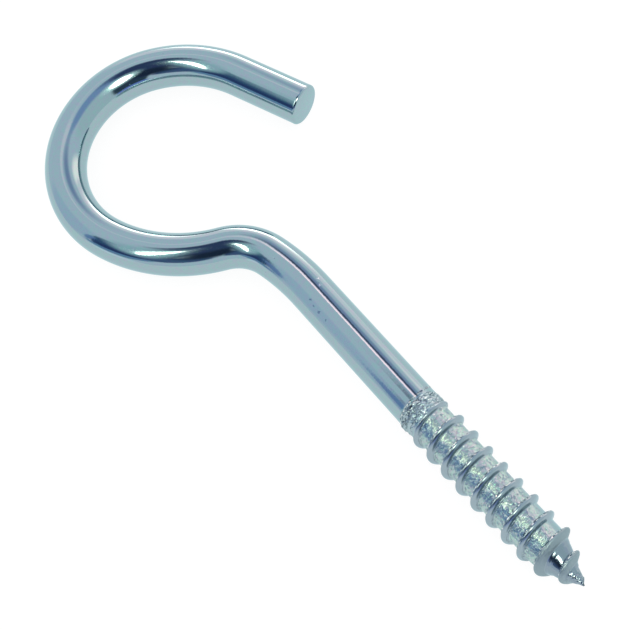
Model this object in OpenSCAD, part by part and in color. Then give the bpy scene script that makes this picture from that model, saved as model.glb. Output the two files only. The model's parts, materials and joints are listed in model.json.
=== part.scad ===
// Screw hook: one length of round steel wire, bent to an open hook, with a
// coarse wood thread and a gimlet point rolled on its straight end.
// The hook lies flat: its bends are in the XY plane, and +Z is square to them.
// The screw axis is X, with the point towards +X.
// The origin is on that axis, where the rolled thread begins.

/* [Wire] */
// Diameter of the plain wire
wire_d = 5.9; // [4:0.1:8]
// Rounding of the edge round the cut end
cut_edge_r = 0.35; // [0.1:0.05:1]

/* [Hook] */
// Straight shank, from the thread to the first bend
shank_l = 22.9; // [10:0.1:60]
// Radius of the slack bend where the neck leaves the shank
neck_slack_r = 33.4; // [15:0.1:60]
// Turn of that slack bend
neck_slack_a = 13.2; // [2:0.1:25]
// Radius of the tight bend of the neck
neck_r = 8; // [5:0.1:15]
// Turn of that tight bend
neck_a = 50.4; // [20:0.1:60]
// Radius of the hook's side next to the neck
side_r = 21.8; // [14:0.1:35]
// Turn of that side
side_a = 44.1; // [20:0.1:60]
// Radius of the hook's crown, where the load hangs
crown_r = 14.6; // [10:0.1:25]
// Turn of the crown
crown_a = 136.4; // [90:0.1:160]
// Radius of the last bend, before the straight end
lip_r = 18.1; // [10:0.1:35]
// Turn of that last bend
lip_a = 43.1; // [20:0.1:60]
// Straight end of the hook, up to the cut
end_l = 11.1; // [4:0.1:25]

/* [Thread] */
// Length of the screw, from the start of its thread to the tip
thread_l = 27.9; // [16:0.1:60]
// Distance from one ridge to the next
pitch = 2.65; // [2:0.05:4]
// How far the root between the ridges lies below the plain wire
root_sink = 0.25; // [0.1:0.01:0.6]
// How far the ridge stands out past the plain wire
crest_rise = 0.45; // [0.2:0.05:0.8]
// Width of the flat along the top of the ridge
crest_w = 0.4; // [0.1:0.05:0.6]
// Slope of the ridge's side towards the hook, from square to the axis
hook_flank_a = 18; // [5:1:35]
// Slope of the ridge's side towards the tip, from square to the axis
tip_flank_a = 44; // [15:1:55]
// Width of the rounding on each side of that flat
crest_round = 0.3; // [0.05:0.05:0.4]
// Length of the point, where root and ridge taper to the tip
point_l = 6.1; // [3:0.1:10]

/* [Thread start] */
// Length of the swollen collar behind the first ridge
collar_l = 2; // [1.8:0.1:4]
// How far the collar stands out past the plain wire
collar_rise = 0.03; // [0.03:0.01:0.15]
// Place of the first ridge along the axis
ridge_start_x = -0.87; // [-1:0.01:0]
// Direction in which the first ridge starts, round the axis from +Y
ridge_start_a = 160; // [0:5:355]
// Turns that the root takes to reach its full depth
root_run = 0.35; // [0.1:0.05:1]
// How far the ridge stands out past the plain wire where it starts
ridge_start_rise = 0.1; // [0.05:0.01:0.2]
// Turns that the ridge takes to reach its full height
ridge_run = 1.6; // [0.5:0.1:2]

/* [Hidden] */
$fn = 64;

wire_r = wire_d / 2;
root_r = wire_r - root_sink;
collar_r = wire_r + collar_rise;
// How far the plain shank reaches into the collar
collar_lap = 0.5;

// Bends in turn from the shank to the cut end: radius, and turn to the left
bends = [
    [neck_slack_r, neck_slack_a],
    [neck_r, neck_a],
    [side_r, -side_a],
    [crown_r, -crown_a],
    [lip_r, -lip_a],
];
shank_heading = 180;

// Heading of the wire as it enters bend i
function heading(i) = i == 0 ? shank_heading : heading(i - 1) + bends[i - 1][1];

// Step across a bend, for a wire that enters it with heading h
function bend_step(bend, h) =
    sign(bend[1]) * bend[0] * [sin(h + bend[1]) - sin(h), cos(h) - cos(h + bend[1])];

// Place where the wire enters bend i
function bend_start(i) =
    i == 0 ? [-shank_l, 0] : bend_start(i - 1) + bend_step(bends[i - 1], heading(i - 1));

// The ridge is a strip wound round the screw, with strip_steps sections in each
// turn. A section has one point for every entry of ridge_shares, from the hook's
// side over the crest to the tip's: a share of 0 is the root, 1 is the crest.
shoulder_share = 0.75;
ridge_shares = [0, shoulder_share, 1, 1, shoulder_share, 0];
rows = len(ridge_shares);
strip_steps = 36;
tip_gap = 0.35;
strip_end = floor(strip_steps * (thread_l - tip_gap - ridge_start_x) / pitch);
root_fullness = 1.3;
crest_fullness = 1.6;

// Smooth rise from 0 to 1
function ramp(s) = let (c = max(0, min(1, s))) c * c * (3 - 2 * c);

// Share of the radius that is left at x: 1 before the point and 0 at the tip
function taper(x, fullness) =
    1 - pow(1 - max(0, min(1, (thread_l - x) / point_l)), fullness);

// Radius of the root on the tip side of the ridge, so many turns from its start
function root_at(turn, x) =
    (collar_r + (root_r - collar_r) * ramp(turn / root_run)) * taper(x, root_fullness);

// Radius of the ridge's crest
function crest_at(turn, x) =
    (wire_r + ridge_start_rise + (crest_rise - ridge_start_rise) * ramp(turn / ridge_run))
    * taper(x, crest_fullness);

// One point of the strip
function strip_point(j, k) =
    let (
        turn = j / strip_steps,
        ridge_x = ridge_start_x + pitch * turn,
        share = ridge_shares[k],
        side = k < rows / 2 ? -1 : 1,
        root_turn = side < 0 ? turn - 1 : turn,
        crest = crest_at(turn, ridge_x),
        depth = crest - root_at(root_turn, ridge_x),
        top = crest_w / 2 + (share < 1 ? crest_round : 0),
        flank_a = side < 0 ? hook_flank_a : tip_flank_a,
        flank = share == 0 ? depth * shoulder_share * tan(flank_a) : 0,
        half_w = top * taper(ridge_x, crest_fullness) + flank,
        x = k == 0 && j < strip_steps ? -collar_l : ridge_x + side * half_w,
        r = share == 0 ? root_at(root_turn, x) : crest - depth * (1 - share),
        a = ridge_start_a + 360 * turn
    )
    [x, r * cos(a), r * sin(a)];

// Number of a strip point; past its last row comes the first row one turn on
function at(j, k) = k < rows ? j * rows + k : (j + strip_steps) * rows;

// Threaded part, as one closed skin from the collar's flat back to the tip
module thread() {
    tip = (strip_end + 1) * rows;
    points = concat(
        [for (j = [0:strip_end]) for (k = [0:rows - 1]) strip_point(j, k)],
        [[thread_l, 0, 0]]
    );
    back = [[for (j = [0:strip_steps - 1]) at(j, 0)]];
    seam = [for (k = [0:rows - 1]) [at(0, k), at(strip_steps - 1, 0), at(0, k + 1)]];
    body = [
        for (j = [0:strip_end - 1])
            for (k = [0:rows - (j < strip_end - strip_steps ? 1 : 2)])
                each [
                    [at(j, k), at(j, k + 1), at(j + 1, k + 1)],
                    [at(j, k), at(j + 1, k + 1), at(j + 1, k)],
                ]
    ];
    last_turn = strip_end - strip_steps;
    nose = concat(
        [for (j = [last_turn:strip_end - 1]) [at(j, rows - 1), tip, at(j + 1, rows - 1)]],
        [for (k = [rows - 1:-1:1]) [at(strip_end, k), tip, at(strip_end, k - 1)]],
        [[at(strip_end, 0), tip, at(last_turn, rows - 1)]]
    );
    polyhedron(points, concat(back, seam, body, nose), convexity = 10);
}

// Every second length of wire is a hair thinner and laps into its neighbours,
// so that no two round faces lie in each other.
slim = 0.01;
lap_l = 0.2;

// Arc of wire from the origin, entered along +X
module bend_arc(radius, turn, thinner) {
    lap_a = thinner ? lap_l / radius * 180 / PI : 0;
    translate([0, sign(turn) * radius, 0])
        rotate([0, 0, (turn > 0 ? -90 : 90 + turn) - lap_a])
            rotate_extrude(angle = abs(turn) + 2 * lap_a)
                translate([radius, 0])
                    circle(r = wire_r - (thinner ? slim : 0));
}

// Straight wire from the origin along +X
module straight(length) {
    rotate([0, 90, 0])
        cylinder(r = wire_r, h = length);
}

// Straight end with a rounded edge at its cut, from the origin along +X
module cut_end(length) {
    arc_steps = 4;
    edge = [
        for (i = [0:arc_steps])
            let (a = 90 * i / arc_steps)
                [wire_r - cut_edge_r + cut_edge_r * cos(a), length - cut_edge_r + cut_edge_r * sin(a)]
    ];
    rotate([0, 90, 0])
        rotate_extrude()
            polygon(concat([[0, 0], [wire_r, 0]], edge, [[0, length]]));
}

module screw_hook() {
    color([0.72, 0.76, 0.78]) {
        thread();
        translate([-shank_l, 0, 0])
            straight(shank_l - collar_l + collar_lap);
        for (i = [0:len(bends) - 1])
            translate(bend_start(i))
                rotate([0, 0, heading(i)])
                    bend_arc(bends[i][0], bends[i][1], i % 2 == 0);
        translate(bend_start(len(bends)))
            rotate([0, 0, heading(len(bends))])
                cut_end(end_l);
    }
}

screw_hook();
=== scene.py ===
import json
import math

import bmesh
import bpy
from mathutils import Matrix, Vector, noise


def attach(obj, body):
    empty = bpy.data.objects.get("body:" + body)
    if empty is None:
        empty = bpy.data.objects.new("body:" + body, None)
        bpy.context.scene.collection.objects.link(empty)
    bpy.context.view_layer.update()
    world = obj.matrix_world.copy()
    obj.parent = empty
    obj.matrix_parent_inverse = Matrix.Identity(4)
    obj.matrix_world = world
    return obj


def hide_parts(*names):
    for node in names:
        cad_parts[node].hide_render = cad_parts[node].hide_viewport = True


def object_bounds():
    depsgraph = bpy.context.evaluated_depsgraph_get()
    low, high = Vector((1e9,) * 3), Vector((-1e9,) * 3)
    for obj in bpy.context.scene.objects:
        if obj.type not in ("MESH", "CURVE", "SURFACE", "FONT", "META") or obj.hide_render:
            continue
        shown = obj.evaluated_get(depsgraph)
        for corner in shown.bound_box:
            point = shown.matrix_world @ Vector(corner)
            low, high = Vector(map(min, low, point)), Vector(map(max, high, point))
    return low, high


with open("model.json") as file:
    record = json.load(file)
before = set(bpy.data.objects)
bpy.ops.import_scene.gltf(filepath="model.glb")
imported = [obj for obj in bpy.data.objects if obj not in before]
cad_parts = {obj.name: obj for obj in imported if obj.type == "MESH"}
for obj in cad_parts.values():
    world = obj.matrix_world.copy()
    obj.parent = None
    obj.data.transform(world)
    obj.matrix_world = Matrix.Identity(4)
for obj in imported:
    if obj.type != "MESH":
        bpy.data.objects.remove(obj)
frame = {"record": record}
cad_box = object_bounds()

# Sizes are in millimetres up to the finished mesh, which is in metres
MM = 0.001
TURN = 2 * math.pi


def mount(name):
    """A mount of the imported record, by name."""
    return next(m for m in frame["record"]["mounts"] if m["name"] == name)


# Wire
wire_r = mount("hook_end")["dims"]["r_mm"]
cut_edge_r = 0.35
cut_edge_steps = 5
# Distance from one ring of points to the next along the plain wire
ring_gap = 0.55

# Hook: bends in turn from the shank to the cut end, as radius, and turn to the left in degrees
shank_l = 22.9
end_l = 11.1
bends = [
    (33.4, 13.2),
    (8.0, 50.4),
    (21.8, -44.1),
    (14.6, -136.4),
    (18.1, -43.1),
]

# Thread
tip_x = cad_box[1].x / MM
pitch = 2.65
root_r = wire_r - 0.25
crest_r = wire_r + 0.47
# Ridge from its hook side to its tip side: place along the axis, and share of its height
ridge_form = [(-0.44, 0), (-0.32, 0.68), (-0.12, 1), (0.12, 1), (0.32, 0.72), (0.60, 0)]
ridge_round = 0.09
# Longest edge left between the points of the ridge's section, and the step that longer ones are cut to
section_edge = 0.2
section_step = 0.14
turn_steps = 120
# Turns that are wound, and the turn at which the first of them starts
wound_turns = 13
first_turn = -1.5
# Slope by which the ridges lean towards the hook on the side that lies upwards, the share of it by which
# they lean away on the +Y side, and the length over which the lean grows
ridge_lean = 0.14
ridge_lean_aside = 0.16
ridge_lean_run = 2.5
# Points closer than this are one
weld = 0.01

# Point, where root and ridge taper to the tip
point_l = 6.1
root_fullness = 1.3
crest_fullness = 1.6
# Narrowest ridge, and the widest, as a share of what one pitch has room for
narrowest_ridge = 0.3
widest_ridge = 0.95
# Length of the tip that is drawn together to one point
tip_cut = 0.08
# How far the tip lies off the axis, and the hollow of the point's lower side
tip_lean = 0.42
point_sag = 0.14

# Start of the thread
collar_x = -3.0
ridge_start_x = -0.87
ridge_start_a = math.radians(160)
ridge_start_rise = 0.1
ridge_lead = 0.12
ridge_run = 1.6
root_run = 0.35

# Ring of wrinkled skin behind the first ridge: its slope, its two ends, how far it stands out,
# and the height and fineness of its wrinkles
ring_slope = 0.22
ring_start_x = -1.05
ring_end_x = 0.75
ring_rise = 0.012
ring_wrinkle = 0.05
wrinkle_grain = 2.2

# Zinc plate on the drawn wire, and in the root of the thread
wire_colour = (0.317, 0.442, 0.480)
root_colour = (0.41, 0.53, 0.52)
metal_edge_tint = (0.830, 0.968, 0.987)
# Painted shade in the pits of the wire and of the root
wire_pit_shade_colour = (0.12, 0.20, 0.28)
root_pit_shade_colour = (0.16, 0.26, 0.40)
# Painted reflections, light and dark bands along the root at fixed places round the axis:
# degrees round the axis from its top, reach, colour and strength
root_reflection_bands = [
    (-15, 8, (0.62, 0.58, 0.62), 0.55),
    (10, 9, (0.60, 0.76, 0.60), 0.6),
    (33, 16, (0.13, 0.24, 0.38), 0.85),
]
reflection_band_waver = 40.0
# Painted shade on the side of the ridge towards the tip, and that on the last full ridge
flank_shade_colour = (0.32, 0.41, 0.46)
last_flank_shade_colour = (0.30, 0.39, 0.43)
# Skin that the rolling crinkled, painted shade in its creases and in the dark dashes along the ridge,
# and painted glints along the ridge
crinkle_colour = (0.42, 0.52, 0.55)
crease_and_dash_shade_colour = (0.05, 0.08, 0.14)
glint_colour = (0.92, 0.93, 0.90)
# Skin of the point between its ridges
cone_colour = (0.24, 0.31, 0.37)
# Painted reflection lines along the shank, one dark and one a light highlight, from where they begin to
# where they are full:
# degrees round the wire from its top, width, colour and strength
shank_reflection_lines = [
    (-8.8, 3.2, (0.05, 0.07, 0.11), 0.85),
    (-4.4, 2.6, (0.95, 0.86, 0.88), 0.75),
]
reflection_line_start_x = -37.0
reflection_line_full_x = -26.0
line_waver = 3.0

# Nicks and pits on the shank: place, reach and colour
marks = [
    ((-22.5, 1.3, 2.64), 0.45, (0.90, 0.90, 0.92)),
    ((-21.5, 0.85, 2.82), 0.5, (0.95, 0.93, 0.95)),
    ((-21.9, 1.05, 2.75), 0.3, (0.12, 0.18, 0.28)),
    ((-20.8, -1.3, 2.65), 0.4, (0.14, 0.20, 0.30)),
    ((-19.9, -1.5, 2.54), 0.35, (0.16, 0.22, 0.32)),
    ((-18.8, -1.55, 2.51), 0.5, (0.14, 0.20, 0.30)),
    ((-17.3, -1.6, 2.48), 0.35, (0.16, 0.22, 0.32)),
]
mark_waver = 1.6

# Surroundings that the plate mirrors, from the first to the one on top.
# Angles are in degrees: azimuth from +X round to +Y, elevation above the floor, roll of the panel,
# half width and half height. Then come the fade past the edge, the corner's exponent and the colour.
open_room = (0.864, 0.900, 0.979)
panels = [
    ("blue_ceiling", 37.1, 79.9, 0, 20.6, 16.7, 0.61, 2, (0.379, 0.495, 0.781)),
    ("green_side", 29.7, 31.1, 0, 24.6, 28.7, 0.88, 2, (0.768, 0.864, 0.88)),
    ("slate_side", 99.2, 4.0, 0, 10.1, 16.7, 1.20, 2, (1.93, 1.59, 1.43)),
    ("pale_side", 232.8, 24.3, 0, 13.7, 20.0, 0.65, 2, (0.727, 0.805, 0.946)),
    ("streaked_bay", 292.7, 32.3, -7, 23.4, 10.2, 0.31, 2, (0.1, 0.16, 0.302)),
    ("dark_side", 347.2, 28.3, 6, 16.6, 18.7, 0.26, 4, (0.05, 0.08, 0.123)),
    ("dark_wedge", 317.9, 68.5, 19, 10.7, 30.2, 0.62, 3, (0.052, 0.075, 0.174)),
    ("pale_top", 183.0, 67.8, 0, 9.0, 3.8, 0.5, 2, open_room),
    ("dark_floor_of_wedge", 321.5, 46.2, -1, 8.5, 8.1, 2.02, 2, (0.02, 0.035, 0.072)),
    ("blue_skirt", 346.7, 9.4, -4, 15.2, 3.5, 0.48, 3, (0.261, 0.349, 0.836)),
    ("dark_card", 267.5, 32.7, 9, 12.5, 22.5, 0.17, 5, (0.056, 0.124, 0.258)),
    ("dark_card_top", 282.1, 52.6, -1, 8.9, 11.1, 0.35, 3, (0.03, 0.05, 0.11)),
    ("dark_card_hem", 271.3, 14.6, 15, 16.1, 3.9, 0.40, 3, (0.255, 0.406, 0.628)),
    ("dark_slot", 251.6, 25.9, 6, 1.8, 9.7, 0.51, 3, (0.266, 0.38, 0.661)),
    ("window_glow", 136.5, 7.6, 3, 28.1, 16.0, 0.37, 3, (1.34, 1.14, 1.17)),
    ("window", 134.6, -2.9, 0, 11.5, 10.3, 1.36, 3, (2.45, 1.92, 1.76)),
    ("window_core", 139.0, -6.0, 0, 12.0, 10.0, 1.1, 2, (6.0, 4.9, 4.5)),
    ("low_glow", 270.0, -6.0, 0, 14.0, 8.0, 0.6, 2, (1.2, 1.25, 1.35)),
    ("navy_line", 125.5, 49.5, -45, 4.8, 3.3, 4.31, 2, (0.374, 0.443, 0.655)),
    ("rose_line", 152.0, 61.3, -33, 9.0, 2.1, 0.62, 2, (1.2, 1.05, 1.1)),
    ("strobe_glow", 358.9, 59.3, 1, 6.8, 10.1, 1.74, 2, (1.08, 1.29, 1.2)),
    ("strobe", 357.3, 59.4, 2, 6.6, 9.7, 0.39, 2, (12, 11.5, 8.98)),
    ("dark_boom", 269.6, 67.8, 0, 7.5, 6.6, 0.39, 3, (0.03, 0.05, 0.1)),
    ("dark_low_card", 269.4, 25.7, 2, 8.7, 4.4, 0.61, 3, (0.041, 0.074, 0.207)),
    ("tall_strobe_glow", 268.9, 54.7, 25, 7.3, 13.3, 1.60, 2, (0.614, 0.789, 0.83)),
    ("tall_strobe", 272.0, 58.1, 10, 2.4, 12.5, 0.56, 2, (9.04, 8.56, 6.96)),
]
# Light on what isn't shiny, which is the panels' even share
plain_room = (0.9, 0.9, 0.9)


def ramp(s):
    """Smooth rise from 0 to 1."""
    c = min(1.0, max(0.0, s))
    return c * c * (3 - 2 * c)


def taper(x, fullness):
    """Share of the radius that is left at x: 1 before the point and 0 at the tip."""
    left = min(1.0, max(0.0, (tip_x - x) / point_l))
    return 1 - (1 - left) ** fullness


def thread_section(bm, x):
    """Section of the thread over one pitch, round the ridge at x: foot, side, crest, side, foot."""
    half = pitch / 2
    form = [(-half, 0)] + ridge_form + [(half, 0)]
    places = [(x + along, root_r + share * (crest_r - root_r), 0) for along, share in form]
    verts = [bm.verts.new(place) for place in places]
    for pair in zip(verts, verts[1:]):
        bm.edges.new(pair)
    bmesh.ops.bevel(
        bm,
        geom=verts[1:-1],
        offset=ridge_round,
        segments=3,
        profile=0.5,
        affect="VERTICES",
        material=-1,
    )
    for edge in [e for e in bm.edges if e.calc_length() > section_edge]:
        cuts = round(edge.calc_length() / section_step)
        bmesh.ops.subdivide_edges(bm, edges=[edge], cuts=cuts)


def owning_turn(x, angle):
    """Turns from the thread's start to the ridge whose section holds the point at x and angle."""
    part = (angle - ridge_start_a) / TURN
    return part + round((x - ridge_start_x) / pitch - part)


def shape_thread_point(co):
    """Moves a point of the evenly wound thread to its place on the rolled one.

    Returns how far along the axis it lies from its ridge, and its share of the ridge's height.
    """
    x = co.x
    angle = math.atan2(co.z, co.y)
    height = (math.hypot(co.y, co.z) - root_r) / (crest_r - root_r)
    turn = owning_turn(x, angle)
    ridge_x = ridge_start_x + pitch * turn
    along = x - ridge_x
    root_turn = turn if along > 0 else turn - 1
    root = wire_r + (root_r - wire_r) * ramp(root_turn / root_run)
    start_rise = ridge_start_rise * ramp(1 + turn / ridge_lead)
    full_rise = crest_r - wire_r - ridge_start_rise
    crest = wire_r + start_rise + full_rise * ramp(turn / ridge_run)
    root *= taper(x, root_fullness)
    crest *= taper(ridge_x, crest_fullness)
    widest = widest_ridge * pitch / 2 / ridge_form[-1][0]
    full_height = crest_r - root_r
    narrow = min(widest, max(narrowest_ridge, (crest - root) / full_height)) if x > 0 else 1.0
    foot = ridge_form[-1][0] if along > 0 else -ridge_form[0][0]
    if abs(along) < foot:
        along *= narrow
    else:
        share = (abs(along) - foot) / (pitch / 2 - foot)
        along = math.copysign(foot * narrow + share * (pitch / 2 - foot * narrow), along)
    r = root + (crest - root) * height
    co.x = ridge_x + along
    co.y = r * math.cos(angle)
    co.z = r * math.sin(angle)
    return along, height


def snap_ring(bm, verts):
    """Brings a ring of the wire to even steps round the axis."""
    step = TURN / turn_steps
    for v in verts:
        angle = math.atan2(v.co.z, v.co.y)
        angle = ridge_start_a + step * round((angle - ridge_start_a) / step)
        v.co.y = wire_r * math.cos(angle)
        v.co.z = wire_r * math.sin(angle)
    bmesh.ops.remove_doubles(bm, verts=verts, dist=weld)


def store_angles(bm):
    """Stores at each point how many degrees it lies round the axis, from the top towards -Y."""
    round_wire = bm.verts.layers.float.new("round_wire")
    for v in bm.verts:
        v[round_wire] = math.degrees(math.atan2(-v.co.y, v.co.z))


def wind_thread(bm):
    """Thread with its point, from a flat ring at collar_x to the tip: one wound turn, and its copies."""
    thread_section(bm, ridge_start_x + pitch * first_turn)
    start = Matrix.Rotation(ridge_start_a + TURN * first_turn, 3, "X")
    bmesh.ops.rotate(bm, verts=bm.verts, cent=(0, 0, 0), matrix=start)
    bmesh.ops.spin(
        bm,
        geom=bm.verts[:] + bm.edges[:],
        cent=(0, 0, 0),
        axis=(1, 0, 0),
        dvec=(pitch / turn_steps, 0, 0),
        angle=TURN,
        steps=turn_steps,
        use_duplicate=False,
    )
    one_turn = bm.verts[:] + bm.edges[:] + bm.faces[:]
    for i in range(1, wound_turns):
        copy = bmesh.ops.duplicate(bm, geom=one_turn)["geom"]
        verts = [v for v in copy if isinstance(v, bmesh.types.BMVert)]
        bmesh.ops.translate(bm, verts=verts, vec=(pitch * i, 0, 0))
    bmesh.ops.remove_doubles(bm, verts=bm.verts, dist=weld)
    side = bm.verts.layers.float.new("ridge_side")
    share = bm.verts.layers.float.new("ridge_share")
    for v in bm.verts:
        v[side], v[share] = shape_thread_point(v.co)
    store_angles(bm)
    for x, inner in ((collar_x, True), (tip_x - tip_cut, False)):
        bmesh.ops.bisect_plane(
            bm,
            geom=bm.verts[:] + bm.edges[:] + bm.faces[:],
            dist=0.001,
            plane_co=(x, 0, 0),
            plane_no=(1, 0, 0),
            clear_inner=inner,
            clear_outer=not inner,
        )
    rim = [v for v in bm.verts if v.is_boundary]
    bmesh.ops.pointmerge(bm, verts=[v for v in rim if v.co.x > 0], merge_co=(tip_x, 0, 0))
    snap_ring(bm, [v for v in rim if v.is_valid and v.co.x < 0])


def crinkle_ring(bm):
    """Wrinkles the skin where the rolling die bit into the plain wire behind the thread."""
    for v in bm.verts:
        leaning_x = v.co.x + ring_slope * v.co.z
        strength = ramp((leaning_x - ring_start_x) / 0.25) * ramp((ring_end_x - leaning_x) / 0.3)
        if strength > 0:
            wrinkle = ring_wrinkle * noise.noise(v.co * wrinkle_grain)
            swell = 1 + strength * (wrinkle + ring_rise)
            v.co.y *= swell
            v.co.z *= swell


def lean_point(bm):
    """Leans the ridges, and bends the threaded part a little towards the hook's open side."""
    for v in bm.verts:
        lean = ridge_lean * ramp((v.co.x - collar_x) / ridge_lean_run)
        v.co.x -= lean * (v.co.z - ridge_lean_aside * v.co.y)
        if v.co.x > 0:
            along_point = max(0.0, 1 - (tip_x - v.co.x) / point_l)
            v.co.y += tip_lean * (v.co.x / tip_x) ** 2 - point_sag * math.sin(math.pi * along_point)


def sweep(bm, ring, steps, centre=(0, 0, 0), angle=0.0, step=(0, 0, 0)):
    """Carries a ring of the wire on, round a centre or straight, and returns the last ring."""
    return bmesh.ops.spin(
        bm,
        geom=ring,
        cent=centre,
        axis=(0, 0, 1),
        dvec=step,
        angle=angle,
        steps=steps,
        use_duplicate=False,
    )["geom_last"]


def bend_wire(bm):
    """Plain wire from the thread's collar through the bends to the cut end."""
    ring = bmesh.ops.create_circle(bm, cap_ends=False, radius=wire_r, segments=turn_steps)["verts"]
    bmesh.ops.rotate(bm, verts=ring, cent=(0, 0, 0), matrix=Matrix.Rotation(math.pi / 2, 3, "Y"))
    bmesh.ops.translate(bm, verts=ring, vec=(collar_x, 0, 0))
    snap_ring(bm, bm.verts)
    store_angles(bm)
    ring = bm.verts[:] + bm.edges[:]
    place = Vector((collar_x, 0, 0))
    heading = math.pi

    def run_straight(ring, place, length):
        steps = math.ceil(length / ring_gap)
        way = Vector((math.cos(heading), math.sin(heading), 0))
        return sweep(bm, ring, steps, step=way * (length / steps)), place + way * length

    ring, place = run_straight(ring, place, shank_l + collar_x)
    for radius, degrees in bends:
        turn = math.radians(degrees)
        side = math.copysign(radius, turn)
        centre = place + Vector((-math.sin(heading), math.cos(heading), 0)) * side
        steps = math.ceil(radius * abs(turn) / ring_gap)
        ring = sweep(bm, ring, steps, centre=centre, angle=turn)
        place = centre + Matrix.Rotation(turn, 3, "Z") @ (place - centre)
        heading += turn
    ring, place = run_straight(ring, place, end_l)
    rim = [g for g in ring if isinstance(g, bmesh.types.BMEdge)]
    bmesh.ops.contextual_create(bm, geom=rim)
    bmesh.ops.bevel(
        bm,
        geom=rim,
        offset=cut_edge_r,
        segments=cut_edge_steps,
        profile=0.5,
        affect="EDGES",
        material=-1,
    )


def joined(parts):
    """One bmesh that holds the given ones."""
    whole = bmesh.new()
    for part in parts:
        mesh = bpy.data.meshes.new("part")
        part.to_mesh(mesh)
        part.free()
        whole.from_mesh(mesh)
        bpy.data.meshes.remove(mesh)
    return whole


def make_hook():
    """The whole hook as one closed skin."""
    thread = bmesh.new()
    wind_thread(thread)
    lean_point(thread)
    crinkle_ring(thread)
    wire = bmesh.new()
    bend_wire(wire)
    bm = joined([thread, wire])
    bmesh.ops.remove_doubles(bm, verts=[v for v in bm.verts if v.is_boundary], dist=weld)
    bmesh.ops.recalc_face_normals(bm, faces=bm.faces)
    bmesh.ops.scale(bm, verts=bm.verts, vec=(MM, MM, MM))
    for face in bm.faces:
        face.smooth = True
    mesh = bpy.data.meshes.new("plated_hook")
    bm.to_mesh(mesh)
    bm.free()
    hook = bpy.data.objects.new("plated_hook", mesh)
    bpy.context.scene.collection.objects.link(hook)
    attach(hook, "root")
    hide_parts("screw_hook")
    return hook


def make_camera():
    """Camera at the photograph's viewing angle, aimed at a point of the hook's plane."""
    aim = Vector((-19.86, -1.79, 0)) * MM
    distance = 162.78 * MM
    azimuth = math.radians(70.56)
    elevation = math.radians(66.10)
    roll = math.radians(-20.95)
    turn = Matrix.Rotation(azimuth, 4, "Z") @ Matrix.Rotation(math.pi / 2 - elevation, 4, "X")
    camera_data = bpy.data.cameras.new("camera")
    camera_data.lens = 71.43
    camera_data.sensor_width = 36
    camera_data.clip_start = 0.01
    camera = bpy.data.objects.new("camera", camera_data)
    place = aim + turn.to_3x3() @ Vector((0, 0, distance))
    camera.matrix_world = Matrix.Translation(place) @ turn @ Matrix.Rotation(roll, 4, "Z")
    bpy.context.scene.collection.objects.link(camera)
    bpy.context.scene.camera = camera


def math_node(tree, operation, a, b=None, c=None, clamp=False):
    """Output of a math node; each input is a socket or a number."""
    node = tree.nodes.new("ShaderNodeMath")
    node.operation = operation
    node.use_clamp = clamp
    for socket, value in zip(node.inputs, (a, b, c)):
        if isinstance(value, bpy.types.NodeSocket):
            tree.links.new(value, socket)
        elif value is not None:
            socket.default_value = value
    return node.outputs[0]


def dot_node(tree, a, b):
    """Output of a dot product."""
    node = tree.nodes.new("ShaderNodeVectorMath")
    node.operation = "DOT_PRODUCT"
    for socket, value in zip(node.inputs, (a, b)):
        if isinstance(value, bpy.types.NodeSocket):
            tree.links.new(value, socket)
        else:
            socket.default_value = value
    return node.outputs["Value"]


def soft_step(tree, value, edge, fade):
    """1 where value is below edge, and 0 past edge by fade or more, with a smooth change."""
    node = tree.nodes.new("ShaderNodeMapRange")
    node.interpolation_type = "SMOOTHSTEP"
    ends = (value, edge, math_node(tree, "ADD", edge, fade), 1.0, 0.0)
    for name, end in zip(("Value", "From Min", "From Max", "To Min", "To Max"), ends):
        if isinstance(end, bpy.types.NodeSocket):
            tree.links.new(end, node.inputs[name])
        else:
            node.inputs[name].default_value = end
    return node.outputs["Result"]


def mix_colour(tree, share, below, above):
    """Colour mixed by a share; each input is a socket or a value."""
    node = tree.nodes.new("ShaderNodeMix")
    node.data_type = "RGBA"
    for socket, value in zip((node.inputs[0], node.inputs[6], node.inputs[7]), (share, below, above)):
        if isinstance(value, bpy.types.NodeSocket):
            tree.links.new(value, socket)
        elif isinstance(value, tuple):
            socket.default_value = (*value, 1)
        else:
            socket.default_value = value
    return node.outputs[2]


def new_group(name, inputs, outputs):
    """Empty node group with its sockets, and its input and output nodes."""
    group = bpy.data.node_groups.new(name, "ShaderNodeTree")
    for label, kind, value in inputs:
        socket = group.interface.new_socket(label, in_out="INPUT", socket_type=kind)
        socket.default_value = value
    for label, kind in outputs:
        group.interface.new_socket(label, in_out="OUTPUT", socket_type=kind)
    return group, group.nodes.new("NodeGroupInput").outputs, group.nodes.new("NodeGroupOutput").inputs


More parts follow.
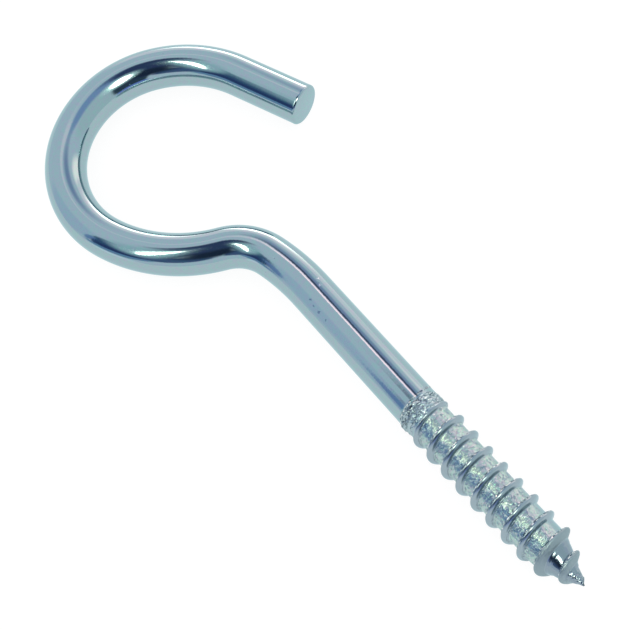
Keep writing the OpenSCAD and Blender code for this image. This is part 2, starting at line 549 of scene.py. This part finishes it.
def soft_panel_group():
    """Mask of a soft-edged panel in the surroundings, by the slope from its middle along two axes."""
    group, given, out = new_group(
        "soft_panel",
        [
            ("Direction", "NodeSocketVector", (0, 0, 1)),
            ("Middle", "NodeSocketVector", (0, 0, 1)),
            ("Side", "NodeSocketVector", (1, 0, 0)),
            ("Half Width", "NodeSocketFloat", 0.2),
            ("Half Height", "NodeSocketFloat", 0.2),
            ("Fade", "NodeSocketFloat", 0.05),
            ("Corner", "NodeSocketFloat", 4.0),
        ],
        [("Mask", "NodeSocketFloat")],
    )
    cross = group.nodes.new("ShaderNodeVectorMath")
    cross.operation = "CROSS_PRODUCT"
    group.links.new(given["Middle"], cross.inputs[0])
    group.links.new(given["Side"], cross.inputs[1])
    ahead = dot_node(group, given["Direction"], given["Middle"])
    across = dot_node(group, given["Direction"], given["Side"])
    up = dot_node(group, given["Direction"], cross.outputs[0])
    flat = math_node(group, "MAXIMUM", ahead, 0.05)
    parts = []
    for part, half in ((across, given["Half Width"]), (up, given["Half Height"])):
        slope = math_node(group, "DIVIDE", part, flat)
        share = math_node(group, "ABSOLUTE", math_node(group, "DIVIDE", slope, half))
        parts.append(math_node(group, "POWER", share, given["Corner"]))
    total = math_node(group, "ADD", parts[0], parts[1])
    share = math_node(group, "POWER", total, math_node(group, "DIVIDE", 1.0, given["Corner"]))
    mask = soft_step(group, share, 1.0, given["Fade"])
    in_front = math_node(group, "GREATER_THAN", ahead, 0.05)
    group.links.new(math_node(group, "MULTIPLY", mask, in_front), out["Mask"])
    return group


def mottle_group():
    """Clouds of rose and green in the plating, and how high each stands."""
    group, given, out = new_group(
        "plate_mottle",
        [
            ("Place", "NodeSocketVector", (0, 0, 0)),
            ("Patch Size", "NodeSocketFloat", 0.5),
            ("Plate", "NodeSocketColor", (0.5, 0.5, 0.5, 1)),
            ("Amount", "NodeSocketFloat", 0.5),
        ],
        [("Colour", "NodeSocketColor"), ("Height", "NodeSocketFloat")],
    )
    clouds = group.nodes.new("ShaderNodeTexNoise")
    clouds.inputs["Detail"].default_value = 3
    clouds.inputs["Roughness"].default_value = 0.6
    group.links.new(given["Place"], clouds.inputs["Vector"])
    group.links.new(math_node(group, "DIVIDE", 1.0, given["Patch Size"]), clouds.inputs["Scale"])
    split = group.nodes.new("ShaderNodeSeparateColor")
    group.links.new(clouds.outputs["Color"], split.inputs[0])
    tint = mix_colour(group, split.outputs[0], (0.55, 1.45, 0.95), (1.55, 0.65, 1.15))
    tinted = group.nodes.new("ShaderNodeMix")
    tinted.data_type = "RGBA"
    tinted.blend_type = "MULTIPLY"
    group.links.new(given["Amount"], tinted.inputs[0])
    group.links.new(given["Plate"], tinted.inputs[6])
    group.links.new(tint, tinted.inputs[7])
    group.links.new(tinted.outputs[2], out["Colour"])
    group.links.new(split.outputs[1], out["Height"])
    return group


def pits_group():
    """Mask of small scattered pits, 1 in a pit's middle."""
    group, given, out = new_group(
        "pits",
        [
            ("Place", "NodeSocketVector", (0, 0, 0)),
            ("Spacing", "NodeSocketFloat", 1.0),
            ("Pit Size", "NodeSocketFloat", 0.1),
            ("Share Kept", "NodeSocketFloat", 0.3),
        ],
        [("Mask", "NodeSocketFloat")],
    )
    cells = group.nodes.new("ShaderNodeTexVoronoi")
    group.links.new(given["Place"], cells.inputs["Vector"])
    group.links.new(math_node(group, "DIVIDE", 1.0, given["Spacing"]), cells.inputs["Scale"])
    split = group.nodes.new("ShaderNodeSeparateColor")
    group.links.new(cells.outputs["Color"], split.inputs[0])
    size = math_node(group, "DIVIDE", given["Pit Size"], given["Spacing"])
    kept = math_node(group, "LESS_THAN", split.outputs[0], given["Share Kept"])
    pit = soft_step(group, cells.outputs["Distance"], math_node(group, "MULTIPLY", size, 0.4), size)
    group.links.new(math_node(group, "MULTIPLY", pit, kept), out["Mask"])
    return group


def placed_group(tree, group, **values):
    """A node group placed in a tree, with its inputs set by name; an underscore stands for a space."""
    node = tree.nodes.new("ShaderNodeGroup")
    node.node_tree = group
    for name, value in values.items():
        socket = node.inputs[name.replace("_", " ")]
        if isinstance(value, bpy.types.NodeSocket):
            tree.links.new(value, socket)
        else:
            socket.default_value = value
    return node.outputs


def between(tree, value, start, full):
    """0 below start and 1 above full, with a smooth change."""
    node = tree.nodes.new("ShaderNodeMapRange")
    node.interpolation_type = "SMOOTHSTEP"
    tree.links.new(value, node.inputs["Value"])
    node.inputs["From Min"].default_value = start
    node.inputs["From Max"].default_value = full
    return node.outputs["Result"]


def blended(tree, share, below, above):
    """Number blended by a share."""
    node = tree.nodes.new("ShaderNodeMix")
    for socket, value in zip((node.inputs[0], node.inputs[2], node.inputs[3]), (share, below, above)):
        if isinstance(value, bpy.types.NodeSocket):
            tree.links.new(value, socket)
        else:
            socket.default_value = value
    return node.outputs[0]


def product(tree, *factors):
    """Product of masks and numbers."""
    total = factors[0]
    for factor in factors[1:]:
        total = math_node(tree, "MULTIPLY", total, factor)
    return total


def off_middle(tree, value, middle):
    """How far a value lies from a middle, to either side."""
    return math_node(tree, "ABSOLUTE", math_node(tree, "SUBTRACT", value, middle))


def noise_at(tree, place, scale, detail=2.0):
    """Soft noise round 0.5."""
    node = tree.nodes.new("ShaderNodeTexNoise")
    node.inputs["Scale"].default_value = scale
    node.inputs["Detail"].default_value = detail
    tree.links.new(place, node.inputs["Vector"])
    return node.outputs["Fac"]


def vector_node(tree, operation, a, b):
    """Outputs of a vector math node, from a socket and a vector."""
    node = tree.nodes.new("ShaderNodeVectorMath")
    node.operation = operation
    tree.links.new(a, node.inputs[0])
    node.inputs[1].default_value = b
    return node.outputs


def attribute(tree, name):
    """Value that the mesh stores at its points."""
    node = tree.nodes.new("ShaderNodeAttribute")
    node.attribute_name = name
    return node.outputs["Fac"]


def place_in_mm(tree):
    """Place on the hook in millimetres."""
    scaled = tree.nodes.new("ShaderNodeVectorMath")
    scaled.operation = "SCALE"
    tree.links.new(tree.nodes.new("ShaderNodeTexCoord").outputs["Object"], scaled.inputs[0])
    scaled.inputs["Scale"].default_value = 1 / MM
    return scaled.outputs[0]


def skin_masks(tree, place):
    """Masks of each kind of skin on the wire and its thread, by name."""
    axes = tree.nodes.new("ShaderNodeSeparateXYZ")
    tree.links.new(place, axes.inputs[0])
    x, y, z = axes.outputs
    squares = [math_node(tree, "POWER", part, 2.0) for part in (y, z)]
    radius = math_node(tree, "SQRT", math_node(tree, "ADD", *squares))
    side = attribute(tree, "ridge_side")
    share = attribute(tree, "ridge_share")
    point_x = tip_x - point_l
    rolled = between(tree, x, collar_x + 1.0, collar_x + 1.5)
    plain_wire = math_node(tree, "SUBTRACT", 1.0, rolled)
    point = between(tree, x, point_x + 0.2, point_x + 1.2)
    before_point = math_node(tree, "SUBTRACT", 1.0, point)
    low = soft_step(tree, radius, root_r + 0.06, 0.12)

    # Flank towards the tip, which takes painted shade
    tip_side = between(tree, side, -0.10, -0.02)
    flank = product(tree, tip_side, between(tree, share, 0.02, 0.12), between(tree, x, -0.6, 0.4))
    last = between(tree, x, point_x - 1.2, point_x)

    # Line of painted glints, with painted dark dashes between them, along the edge between the crest and
    # the flank towards the hook
    edge_line = product(
        tree,
        between(tree, side, -0.30, -0.20),
        soft_step(tree, side, -0.12, 0.06),
        between(tree, share, 0.5, 0.8),
        rolled,
    )
    glints = noise_at(tree, place, 2.4)

    # Crinkled skin on the flank towards the hook, behind the first ridge, and at the tip
    hook_edge = product(
        tree,
        between(tree, side, -0.42, -0.34),
        soft_step(tree, side, -0.12, 0.08),
        between(tree, share, 0.1, 0.4),
    )
    leaning_x = math_node(tree, "MULTIPLY_ADD", z, ring_slope, x)
    worn = math_node(tree, "MULTIPLY_ADD", between(tree, leaning_x, -0.45, 0.05), -0.5, 1)
    ring = product(
        tree,
        between(tree, leaning_x, -0.95, -0.75),
        soft_step(tree, leaning_x, 0.9, 0.5),
        worn,
    )
    ragged_tip = product(tree, between(tree, x, tip_x - 2.6, tip_x - 1.6), 0.35)
    behind_ridge = math_node(tree, "MAXIMUM", hook_edge, ring)
    return {
        "rolled": rolled,
        "root": product(tree, low, rolled, before_point),
        "flank": flank,
        "last_flank": product(tree, flank, last),
        "cone": product(tree, point, soft_step(tree, share, 0.02, 0.1)),
        "glint": product(tree, edge_line, between(tree, glints, 0.50, 0.56)),
        "gap": product(tree, edge_line, soft_step(tree, glints, 0.42, 0.05)),
        "behind_ridge": behind_ridge,
        "crinkled": math_node(tree, "MAXIMUM", behind_ridge, ragged_tip),
        # Reach of the painted reflection lines along the shank
        "drawn": product(tree, plain_wire, between(tree, x, reflection_line_start_x, reflection_line_full_x)),
    }


def layered(tree, base, layers):
    """Base colour under layers of mask, colour and strength."""
    for mask, tone, strength in layers:
        if strength < 1:
            mask = product(tree, mask, strength)
        base = mix_colour(tree, mask, base, tone)
    return base


def root_reflection_layers(tree, place, round_wire, root, height):
    """Painted reflections in light and dark bands along the root, broken up by its unevenness."""
    patches = noise_at(tree, place, 2.2)
    blurred = math_node(tree, "MULTIPLY_ADD", patches, reflection_band_waver, round_wire)
    for middle, reach, tone, strength in root_reflection_bands:
        off = off_middle(tree, blurred, middle + reflection_band_waver / 2)
        reflection_band = soft_step(tree, off, reach * 0.3, reach)
        yield product(tree, reflection_band, root, between(tree, height, 0.36, 0.56)), tone, strength


def mark_layers(tree, place):
    """Nicks and pits of the shank."""
    waver = noise_at(tree, place, 3.5, 3.0)
    for middle, reach, tone in marks:
        away = vector_node(tree, "DISTANCE", place, middle)["Value"]
        away = math_node(tree, "MULTIPLY_ADD", waver, mark_waver * reach, away)
        yield soft_step(tree, away, reach, 0.25 * reach), tone, 0.85


def shank_reflection_layers(tree, place, round_wire, drawn):
    """Painted dark reflection and highlight lines along the shank."""
    wavy = math_node(tree, "MULTIPLY_ADD", noise_at(tree, place, 4.0), line_waver, round_wire)
    for middle, width, tone, strength in shank_reflection_lines:
        off = off_middle(tree, wavy, middle + line_waver / 2)
        yield product(tree, soft_step(tree, off, width * 0.5, width * 0.6), drawn), tone, strength


def make_zinc():
    """Bright zinc plate on drawn wire, duller and pitted in the root of the thread."""
    material = bpy.data.materials.new("zinc_plate")
    material.use_nodes = True
    tree = material.node_tree
    shader = tree.nodes["Principled BSDF"]
    shader.inputs["Metallic"].default_value = 1
    shader.inputs["Specular Tint"].default_value = (*metal_edge_tint, 1)
    place = place_in_mm(tree)
    skin = skin_masks(tree, place)
    round_wire = attribute(tree, "round_wire")
    mottle = mottle_group()
    wire_plate = (*wire_colour, 1)
    root_plate = (*root_colour, 1)
    wire = placed_group(tree, mottle, Place=place, Patch_Size=0.5, Plate=wire_plate, Amount=0.42)
    dull = placed_group(tree, mottle, Place=place, Patch_Size=0.30, Plate=root_plate, Amount=0.7)
    dents = placed_group(tree, mottle, Place=place, Patch_Size=0.9, Plate=root_plate, Amount=0.5)
    wire_pits = placed_group(
        tree,
        pits_group(),
        Place=place,
        Spacing=1.3,
        Pit_Size=0.07,
        Share_Kept=0.16,
    )["Mask"]
    root_pits = product(tree, between(tree, noise_at(tree, place, 2.2), 0.54, 0.62), skin["root"])
    drawn_out = vector_node(tree, "MULTIPLY", place, (1.0, 0.5, 0.5))["Vector"]
    folds = off_middle(tree, noise_at(tree, drawn_out, 1.7), 0.5)
    # Painted shade in the creases of the crinkled skin
    crease_shade = product(tree, soft_step(tree, folds, 0.014, 0.035), skin["behind_ridge"])

    colour = mix_colour(tree, skin["root"], wire["Colour"], dull["Colour"])
    # Painted shade in the root's pits
    colour = layered(tree, colour, [(root_pits, root_pit_shade_colour, 0.45)])
    # Painted reflections: light and dark bands at fixed places round the root
    root_reflections = root_reflection_layers(tree, place, round_wire, skin["root"], dull["Height"])
    colour = layered(tree, colour, root_reflections)
    # Painted shade in the wire's pits
    colour = layered(tree, colour, [(wire_pits, wire_pit_shade_colour, 0.5)])
    colour = layered(tree, colour, mark_layers(tree, place))
    upper_layers = [
        (skin["crinkled"], crinkle_colour, 1),
        (crease_shade, crease_and_dash_shade_colour, 0.9),
        # Painted shade on the flanks towards the tip
        (skin["flank"], flank_shade_colour, 1),
        # Painted glints and painted dark dashes along the ridge's edge
        (skin["glint"], glint_colour, 1),
        (skin["gap"], crease_and_dash_shade_colour, 0.8),
        (skin["cone"], cone_colour, 0.8),
        # Painted shade on the last full ridge's flank
        (skin["last_flank"], last_flank_shade_colour, 1),
    ]
    colour = layered(tree, colour, upper_layers)
    # Painted dark reflection and highlight lines along the shank
    colour = layered(tree, colour, shank_reflection_layers(tree, place, round_wire, skin["drawn"]))
    tree.links.new(colour, shader.inputs["Base Color"])

    roughness = 0.085
    levels = {"rolled": 0.15, "root": 0.24, "flank": 0.2, "last_flank": 0.5, "crinkled": 0.08}
    for name, level in levels.items():
        roughness = blended(tree, skin[name], roughness, level)
    tree.links.new(roughness, shader.inputs["Roughness"])

    height = product(tree, wire["Height"], blended(tree, skin["rolled"], 0.0028, 0.008))
    root_height = product(tree, dull["Height"], 0.10)
    root_height = math_node(tree, "MULTIPLY_ADD", dents["Height"], 0.16, root_height)
    reliefs = [
        (root_height, skin["root"]),
        (root_pits, -0.05),
        (product(tree, folds, skin["crinkled"]), 1.5),
        (wire_pits, -0.01),
    ]
    for relief, depth in reliefs:
        height = math_node(tree, "MULTIPLY_ADD", relief, depth, height)
    bump = tree.nodes.new("ShaderNodeBump")
    bump.inputs["Distance"].default_value = MM
    tree.links.new(height, bump.inputs["Height"])
    tree.links.new(bump.outputs["Normal"], shader.inputs["Normal"])
    return material


def direction(azimuth, elevation):
    """Unit vector towards a place in the surroundings."""
    a, e = math.radians(azimuth), math.radians(elevation)
    return Vector((math.cos(e) * math.cos(a), math.cos(e) * math.sin(a), math.sin(e)))


def make_world():
    """Surroundings of a table studio: an even pale room with dark bays, a window and two strobes."""
    world = bpy.data.worlds.new("studio")
    bpy.context.scene.world = world
    world.use_nodes = True
    tree = world.node_tree
    panel_group = soft_panel_group()
    way = tree.nodes.new("ShaderNodeTexCoord").outputs["Generated"]
    colour = open_room
    for name, azimuth, elevation, roll, half_width, half_height, fade, corner, tone in panels:
        middle = direction(azimuth, elevation)
        side = Vector((0, 0, 1)).cross(middle).normalized()
        side.rotate(Matrix.Rotation(math.radians(roll), 3, middle))
        panel = tree.nodes.new("ShaderNodeGroup")
        panel.name = name
        panel.node_tree = panel_group
        tree.links.new(way, panel.inputs["Direction"])
        panel.inputs["Middle"].default_value = middle
        panel.inputs["Side"].default_value = side
        panel.inputs["Half Width"].default_value = math.tan(math.radians(half_width))
        panel.inputs["Half Height"].default_value = math.tan(math.radians(half_height))
        panel.inputs["Fade"].default_value = fade
        panel.inputs["Corner"].default_value = corner
        colour = mix_colour(tree, panel.outputs["Mask"], colour, tone)

    # The shiny plate sees the panels, what isn't shiny a plain level, and the camera white
    mirrored = tree.nodes["Background"]
    tree.links.new(colour, mirrored.inputs["Color"])
    plain = tree.nodes.new("ShaderNodeBackground")
    plain.inputs["Color"].default_value = (*plain_room, 1)
    rays = tree.nodes.new("ShaderNodeLightPath").outputs
    both = tree.nodes.new("ShaderNodeMixShader")
    tree.links.new(rays["Is Glossy Ray"], both.inputs[0])
    tree.links.new(plain.outputs[0], both.inputs[1])
    tree.links.new(mirrored.outputs[0], both.inputs[2])
    white = tree.nodes.new("ShaderNodeBackground")
    white.inputs["Color"].default_value = (1, 1, 1, 1)
    seen = tree.nodes.new("ShaderNodeMixShader")
    tree.links.new(rays["Is Camera Ray"], seen.inputs[0])
    tree.links.new(both.outputs[0], seen.inputs[1])
    tree.links.new(white.outputs[0], seen.inputs[2])
    tree.links.new(seen.outputs[0], tree.nodes["World Output"].inputs["Surface"])


def make_floor():
    """Plain white table, which stays white to the eye and in the metal and takes the hook's shadow."""
    bm = bmesh.new()
    bmesh.ops.create_grid(bm, x_segments=1, y_segments=1, size=3)
    bmesh.ops.translate(bm, verts=bm.verts, vec=(0, 0, cad_box[0].z))
    mesh = bpy.data.meshes.new("table_top")
    bm.to_mesh(mesh)
    bm.free()
    table = bpy.data.objects.new("table_top", mesh)
    bpy.context.scene.collection.objects.link(table)
    material = bpy.data.materials.new("table_white")
    material.use_nodes = True
    tree = material.node_tree
    shader = tree.nodes["Principled BSDF"]
    shader.inputs["Base Color"].default_value = (0.16, 0.16, 0.16, 1)
    shader.inputs["Roughness"].default_value = 1
    shader.inputs["Specular IOR Level"].default_value = 0
    shader.inputs["Emission Color"].default_value = (1, 1, 1, 1)
    rays = tree.nodes.new("ShaderNodeLightPath").outputs
    seen = math_node(tree, "ADD", rays["Is Camera Ray"], rays["Is Glossy Ray"])
    seen = math_node(tree, "ADD", seen, rays["Is Transmission Ray"], clamp=True)
    tree.links.new(math_node(tree, "MULTIPLY", seen, 0.9), shader.inputs["Emission Strength"])
    mesh.materials.append(material)


make_camera()
make_world()
make_floor()
hook = make_hook()
hook.data.materials.append(make_zinc())
bpy.context.scene.view_settings.view_transform = "Standard"
